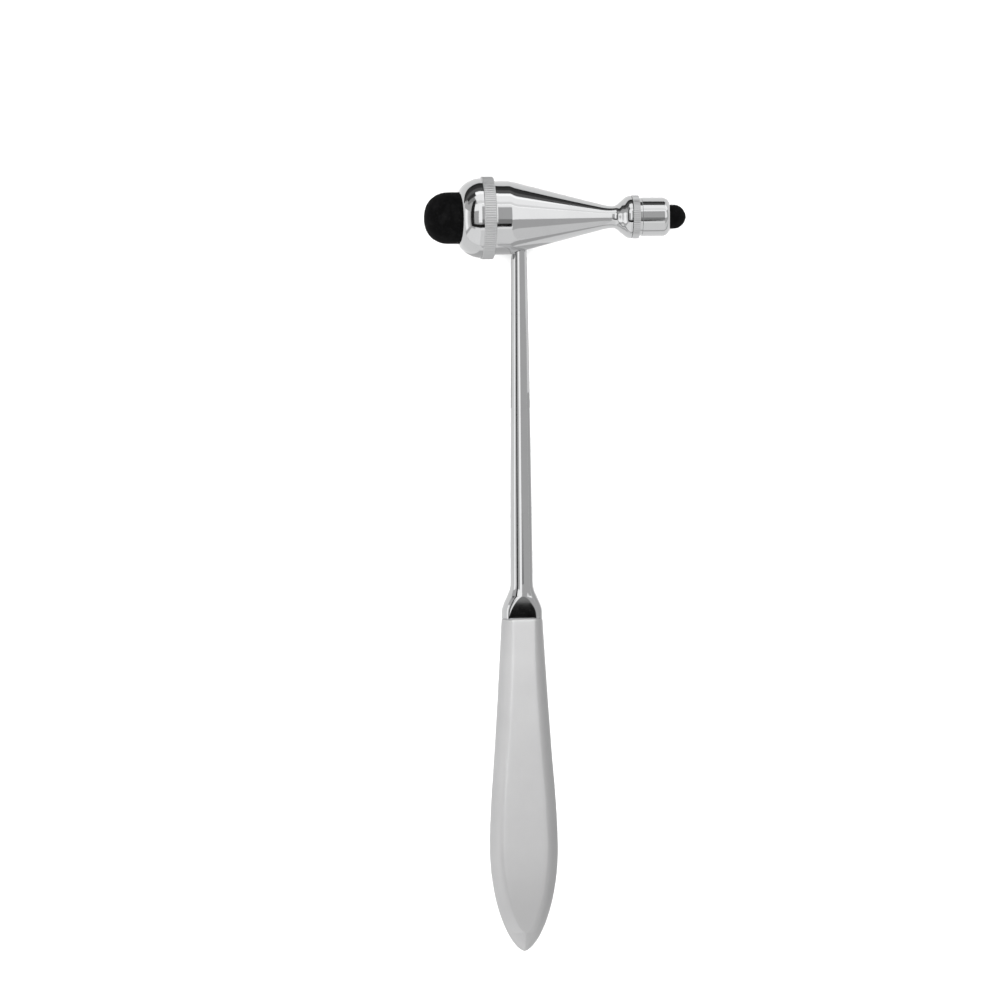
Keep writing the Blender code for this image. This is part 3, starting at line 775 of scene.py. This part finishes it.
# half shell: at each distance a closed loop of the outer half section and, back again, the same
# section drawn in by the wall; the two run out at the tip and at the cavity's end. The top edge is a
# quarter round, start + r (1 - cos), and below it the rows draw closer towards the tip, as
# 1 - (1 - t)^1.7
def makeHandleShell(name, node, side, material):
    s = handle
    r, start = s["topRounding"], s["start"]
    t = np.linspace(0, 1, s["rows"])
    quarter = np.linspace(0, math.pi / 2, s["topRows"] + 1)[:-1]
    at = np.concatenate([start + r * (1 - np.cos(quarter)),
                         start + r + (s["end"] - start - r) * (1 - (1 - t) ** s["crowding"])])
    left = 1 - np.clip((at - start) / r, 0, 1)
    drawIn = r * (1 - np.sqrt(np.clip(1 - left ** 2, 0, 1)))
    outer = halfSection(at, handleSizes(at) - edgeShare * drawIn, s["columns"])
    innerAt = start + (s["cavityEnd"] - start) * (at - at[0]) / (at[-1] - at[0])
    innerSizes = handleSizes(innerAt) - wallShare * s["wall"]
    shrink = np.sqrt(np.clip((s["cavityEnd"] - innerAt) / s["cavityFade"], 0, 1))
    innerSizes[:3] = np.maximum(innerSizes[:3] * shrink, leastSize)
    inner = halfSection(innerAt, innerSizes, s["columns"])[:, ::-1]
    loops = np.concatenate([outer, inner], axis=1)
    loops[..., 2] = side * np.maximum(loops[..., 2], s["seamGap"])
    mesh = shellMesh(name, loops)
    addWear(mesh, loops, at)
    finishPiece(name, mesh, material, "hammer", node, s["sharp"])


# loops of the shell joined row to row; the top row closes between its outer and inner halves, and so
# does the tip
def shellMesh(name, loops):
    rows, columns = loops.shape[:2]
    index = np.arange(rows * columns).reshape(rows, columns)
    faces = facesBetween(index[:-1], index[1:])
    half = columns // 2
    for row, order in ((index[0], 1), (index[-1], -1)):
        outer, inner = row[:half], row[half:][::-1]
        strip = np.column_stack([outer[:-1], outer[1:], inner[1:], inner[:-1]])[:, ::-order]
        faces += strip.tolist()
    return meshOf(name, loops, faces)


# wear = exp(-(d / wearWidth)^2), where d is how far a point of the outside is from the flat's edge
def addWear(mesh, loops, at):
    flat = handleSizes(at)[1][:, None]
    distance = np.abs(np.abs(loops[..., 0]) - flat)
    wear = np.exp(-(distance / handle["wearWidth"]) ** 2)
    wear[:, loops.shape[1] // 2:] = 0
    attribute = mesh.attributes.new("wear", "FLOAT", "POINT")
    attribute.data.foreach_set("value", wear.ravel().astype(np.float32))


aroundHead = (14.0, 0.35, 0.35)     # polishing marks run round the head
alongShaft = (9.0, 0.12, 9.0)       # and along the shaft
makeHeadBody(polishedChrome("polishedHead", aroundHead))
makeLargeCap(polishedChrome("polishedLargeCap", aroundHead, rimGrooveMask(largeRim)))
makeSmallCap(polishedChrome("polishedSmallCap", aroundHead, rimGrooveMask(smallRim)))
rubber = blackRubber()
makeMallet("largeMallet", largeMallet, "large_mallet", "large_mallet", rubber)
makeMallet("smallMallet", smallMallet, "small_mallet", "small_mallet", rubber)
makeShaft(polishedChrome("polishedShaft", alongShaft))
satin = satinChrome()
makeHandleShell("handleFrontShell", "handle_front_shell", 1, satin)
makeHandleShell("handleBackShell", "handle_back_shell", -1, satin)
print("all eight pieces made")

studio = {
    "worldColour": (1.0, 1.0, 1.0), "worldStrength": 0.58, "floorColour": (0.93, 0.93, 0.93),
    "floorRoughness": 0.9, "floorSpecular": 0.1, "floorSize": 8.0, "floorDepth": 0.0002,
}

# panels that the chrome mirrors and nothing else sees; limits in metres from the crossing: x east, y
# north, z up from the floor; each is flat in the axis whose two limits are equal. Last number = how
# bright it is
panels = {
    "windowWest": ((-0.50, 0.10), (-0.42, 1.26), (1.5, 1.5), 1.45),
    "windowNorthWest": ((-1.10, -0.50), (0.50, 1.26), (1.5, 1.5), 1.40),
    "cameraShade": ((0.10, 0.62), (-0.58, -0.18), (1.5, 1.5), 0.30),
    "northLow": ((-0.9, 2.6), (1.5, 1.5), (0.10, 0.55), 1.65),
    "northMiddle": ((-0.9, 2.6), (1.5, 1.5), (0.55, 1.30), 1.38),
    "northHigh": ((-0.9, 2.6), (1.5, 1.5), (1.30, 1.90), 1.12),
    "northWestLow": ((-2.0, -0.68), (1.45, 1.45), (0.0, 0.62), 0.05),
    "northWestHigh": ((-2.4, -0.90), (1.45, 1.45), (0.62, 1.10), 0.33),
    "northFloor": ((-0.16, 0.075), (0.046, 0.072), (0.0006, 0.0006), 0.03),
    "northStripLow": ((-0.16, 0.075), (0.072, 0.072), (0.0, 0.016), 0.05),
    "northStripHigh": ((-0.13, 0.075), (0.072, 0.072), (0.016, 0.033), 0.14),
    "westLine": ((-1.75, -1.10), (-0.9, 2.2), (1.5, 1.5), 0.02),
    "westLow": ((-1.9, -1.9), (-0.9, 0.6), (0.06, 0.28), 1.02),
    "westCore": ((-1.9, -1.9), (-0.9, 0.6), (0.28, 0.85), 1.48),
    "westHigh": ((-1.9, -1.9), (-0.9, 0.6), (0.85, 1.30), 0.90),
    "southBar": ((-0.81, 0.30), (-0.545, -0.345), (0.91, 0.91), 0.008),
    "southHigh": ((-1.1, 0.75), (-1.19, -0.86), (1.5, 1.5), 1.15),
    "southWest": ((-2.5, -0.3), (-1.6, -1.6), (0.03, 2.1), 1.12),
    "south": ((-0.3, 0.9), (-1.6, -1.6), (0.03, 2.1), 0.97),
    "southEast": ((0.9, 9.0), (-1.6, -1.6), (0.03, 1.62), 0.87),
    "floorGlow": ((-3.0, 3.0), (-3.0, 3.0), (0.0003, 0.0003), 0.97),
    # painted shadow: the next three are dimmer sheets on the floor east of the shaft and handle and round the
    # shaft's top by the head, where the hammer's shade falls, for the chrome to mirror
    "eastFloorNear": ((0.012, 0.07), (-0.35, -0.055), (0.0006, 0.0006), 0.55),
    "eastFloorFar": ((0.07, 0.50), (-0.35, -0.03), (0.0006, 0.0006), 0.55),
    "headFloor": ((-0.02, 0.012), (-0.06, -0.012), (0.0008, 0.0008), 0.60),
}

# clear panels that glow on top of what lies behind them, and only for the pieces named last
headPieces = ("headBody", "largeCap", "smallCap", "largeMallet", "smallMallet")
handlePieces = ("handleFrontShell", "handleBackShell")
clearPanels = {
    "windowMiddle": ((0.10, 0.62), (0.90, 1.26), (1.5, 1.5), 0.72, headPieces + handlePieces),
    "windowEast": ((0.62, 3.20), (0.05, 1.26), (1.5, 1.5), 0.77, headPieces + handlePieces),
    "windowEastEnd": ((0.62, 3.20), (-0.24, 0.05), (1.5, 1.5), 0.77, headPieces),
}


# one four-sided face of the studio's own
def flatMesh(name, corners, material):
    mesh = bpy.data.meshes.new(name)
    mesh.from_pydata(corners, [], [(0, 1, 2, 3)])
    mesh.materials.append(material)
    made = bpy.data.objects.new(name, mesh)
    bpy.context.scene.collection.objects.link(made)
    return made


# pale square floor, a hair under the hammer
def makeFloor():
    nodes = Nodes("floor")
    nodes.set(Base_Color=(*studio["floorColour"], 1.0), Roughness=studio["floorRoughness"],
              Specular_IOR_Level=studio["floorSpecular"])
    half, z = studio["floorSize"] / 2, -studio["floorDepth"]
    corners = [(-half, -half, z), (half, -half, z), (half, half, z), (-half, half, z)]
    flatMesh("floor", corners, nodes.material)


# each panel glows evenly and only mirrored rays meet it; one with pieces is clear, and glows for them
# alone. Its corners go round the two axes in which it isn't flat
def makePanel(name, spanX, spanY, spanZ, brightness, pieces=None):
    spans = np.array([spanX, spanY, spanZ]) + np.array([[crossing[0]], [crossing[1]], [0.0]])
    flatAxis = int(np.argmin(spans[:, 1] - spans[:, 0]))
    first, second = (axis for axis in range(3) if axis != flatAxis)
    corners = np.repeat(spans[None, :, 0], 4, axis=0)
    corners[:, first] = spans[first][[0, 1, 1, 0]]
    corners[:, second] = spans[second][[0, 0, 1, 1]]
    nodes = Nodes(name)
    nodes.set(Base_Color=(0.0, 0.0, 0.0, 1.0), Specular_IOR_Level=0.0)
    nodes.set(Emission_Color=(1.0, 1.0, 1.0, 1.0), Emission_Strength=brightness)
    if pieces:
        glow = nodes.add("ShaderNodeEmission", None, {"Strength": brightness})
        clear = nodes.add("ShaderNodeBsdfTransparent")
        both = nodes.add("ShaderNodeAddShader", None, {0: glow, 1: clear})
        nodes.put(nodes.tree.nodes["Material Output"].inputs["Surface"], both)
    panel = flatMesh(name, corners.tolist(), nodes.material)
    for seen in ("camera", "diffuse", "shadow", "transmission", "volume_scatter"):
        setattr(panel, "visible_" + seen, False)
    if pieces:
        panel.light_linking.receiver_collection = onlyOn(name, pieces)


# collection of the pieces that a light or a panel falls on
def onlyOn(name, pieces):
    receivers = bpy.data.collections.new(name)
    for piece in pieces:
        receivers.objects.link(bpy.data.objects[piece])
    return receivers


# even light from all round
def makeWorld():
    world = bpy.data.worlds.new("studio")
    world.use_nodes = True
    background = world.node_tree.nodes["Background"]
    background.inputs["Color"].default_value = (*studio["worldColour"], 1.0)
    background.inputs["Strength"].default_value = studio["worldStrength"]
    bpy.context.scene.world = world


overhead = {"size": 2.6, "height": 2.6, "brightness": 6.6}
handleLights = {
    "neckLight": {"size": 0.20, "place": (0.0, -0.06, 0.40), "brightness": 2.5},
    "ridgeLight": {"size": 0.16, "place": (-0.33, -0.05, 0.40), "brightness": 4.2},
}


# square light that the camera doesn't see; power = brightness x pi x area
def squareLight(name, size, brightness, place):
    light = bpy.data.lights.new(name, "AREA")
    light.size = size
    light.energy = brightness * math.pi * size**2
    made = bpy.data.objects.new(name, light)
    made.location = place
    made.visible_camera = False
    bpy.context.scene.collection.objects.link(made)
    return made


# a large soft light overhead for the floor and the rubber, and small lights that fall on the handle
# alone, aimed at its neck: one above, which brightens the satin towards the neck, and one to the west
# for the left ridge
def makeLights():
    made = squareLight("overhead", overhead["size"], overhead["brightness"], (0.0, 0.0, overhead["height"]))
    made.visible_glossy = False
    handleOnly = onlyOn("handleOnly", handlePieces)
    middle = Vector((crossing[0], crossing[1], 0.0))
    neck = middle - Vector((0.0, handle["start"] * mm, 0.0))
    for name, s in handleLights.items():
        made = squareLight(name, s["size"], s["brightness"], middle + Vector(s["place"]))
        made.rotation_euler = (neck - made.location).to_track_quat("-Z", "Y").to_euler()
        made.light_linking.receiver_collection = handleOnly


cameraLook = {
    "distance": 2.0, "frameWidth": 0.3165, "right": -0.00592, "up": -0.0892, "tilt": 0.97, "roll": -0.45,
    "sensor": 36.0, "clip": (0.05, 50.0),
}


# camera above the hammer: it looks down past the head, tilted and rolled by a degree or less;
# lens = sensor x distance / frame width
def makeCamera():
    s = cameraLook
    data = bpy.data.cameras.new("camera")
    data.sensor_width = s["sensor"]
    data.lens = data.sensor_width * s["distance"] / s["frameWidth"]
    data.clip_start, data.clip_end = s["clip"]
    camera = bpy.data.objects.new("camera", data)
    tilt = Matrix.Rotation(math.radians(s["tilt"]), 3, "Y")
    turned = tilt @ Matrix.Rotation(math.radians(s["roll"]), 3, "Z")
    place = Vector(crossing) + turned @ Vector((s["right"], s["up"], s["distance"]))
    camera.matrix_world = Matrix.Translation(place) @ turned.to_4x4()
    bpy.context.scene.collection.objects.link(camera)
    bpy.context.scene.camera = camera
    bpy.context.scene.view_settings.view_transform = "Standard"


makeFloor()
makeWorld()
for name, panel in {**panels, **clearPanels}.items():
    makePanel(name, *panel)
makeLights()
makeCamera()
print("floor, light and camera ready")
